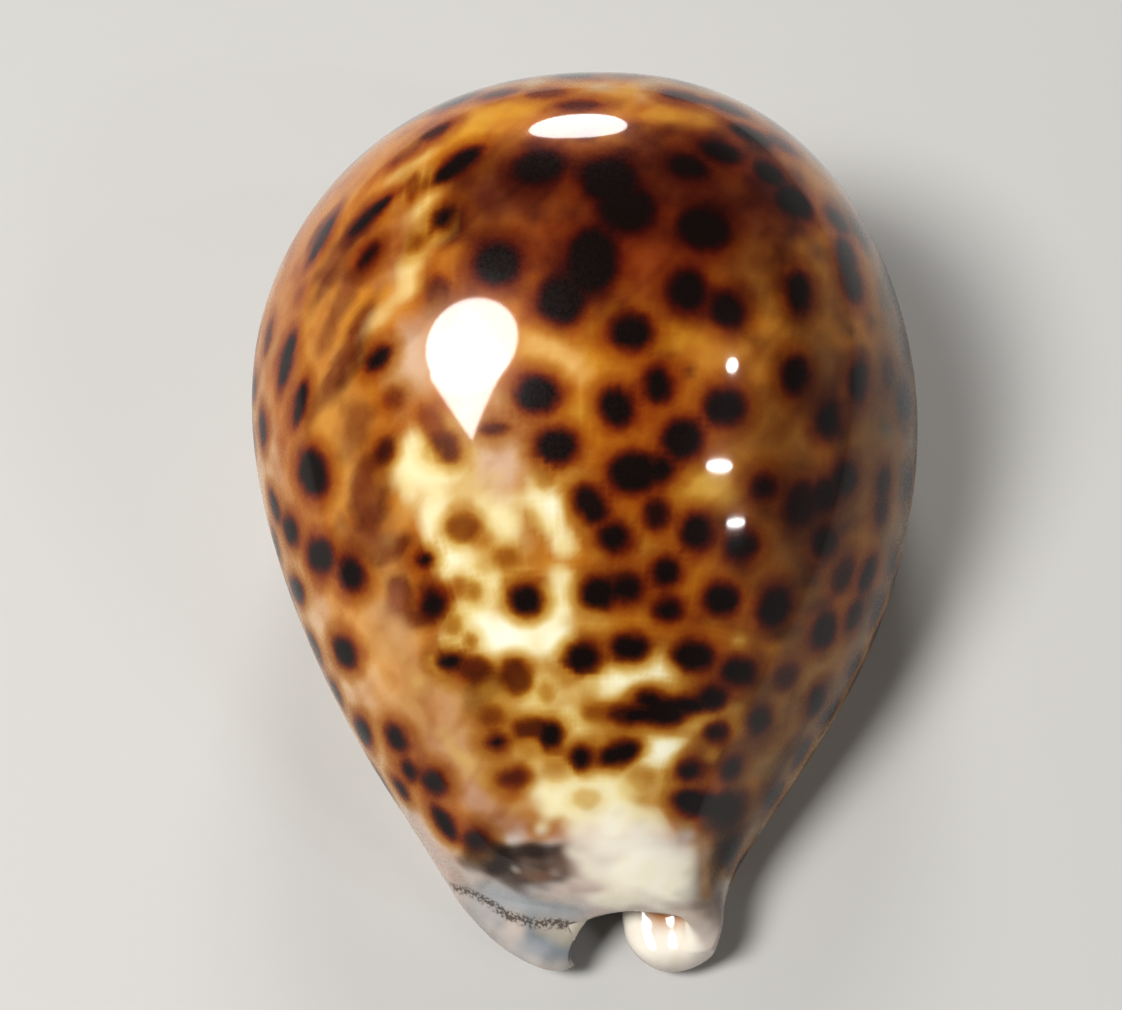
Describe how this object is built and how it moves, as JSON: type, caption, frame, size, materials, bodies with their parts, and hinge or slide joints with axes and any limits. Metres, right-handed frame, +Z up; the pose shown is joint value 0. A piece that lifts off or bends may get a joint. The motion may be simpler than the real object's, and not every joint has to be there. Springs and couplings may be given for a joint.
{
  "type": "cowrie shell",
  "caption": "Domed, egg-shaped cowrie shell with a hollow inside and a long toothed slit along its flat base.",
  "frame": {"origin": "middle of the shell's footprint, on the floor that it stands on", "axes": "+Z up, -Y towards the front canal, -X towards the outer lip"},
  "size_m": [0.0652, 0.087, 0.0483],
  "materials": {
    "shell": "gloss"
  },
  "bodies": {
    "root": {"shell": "shell"}
  },
  "joints": []
}
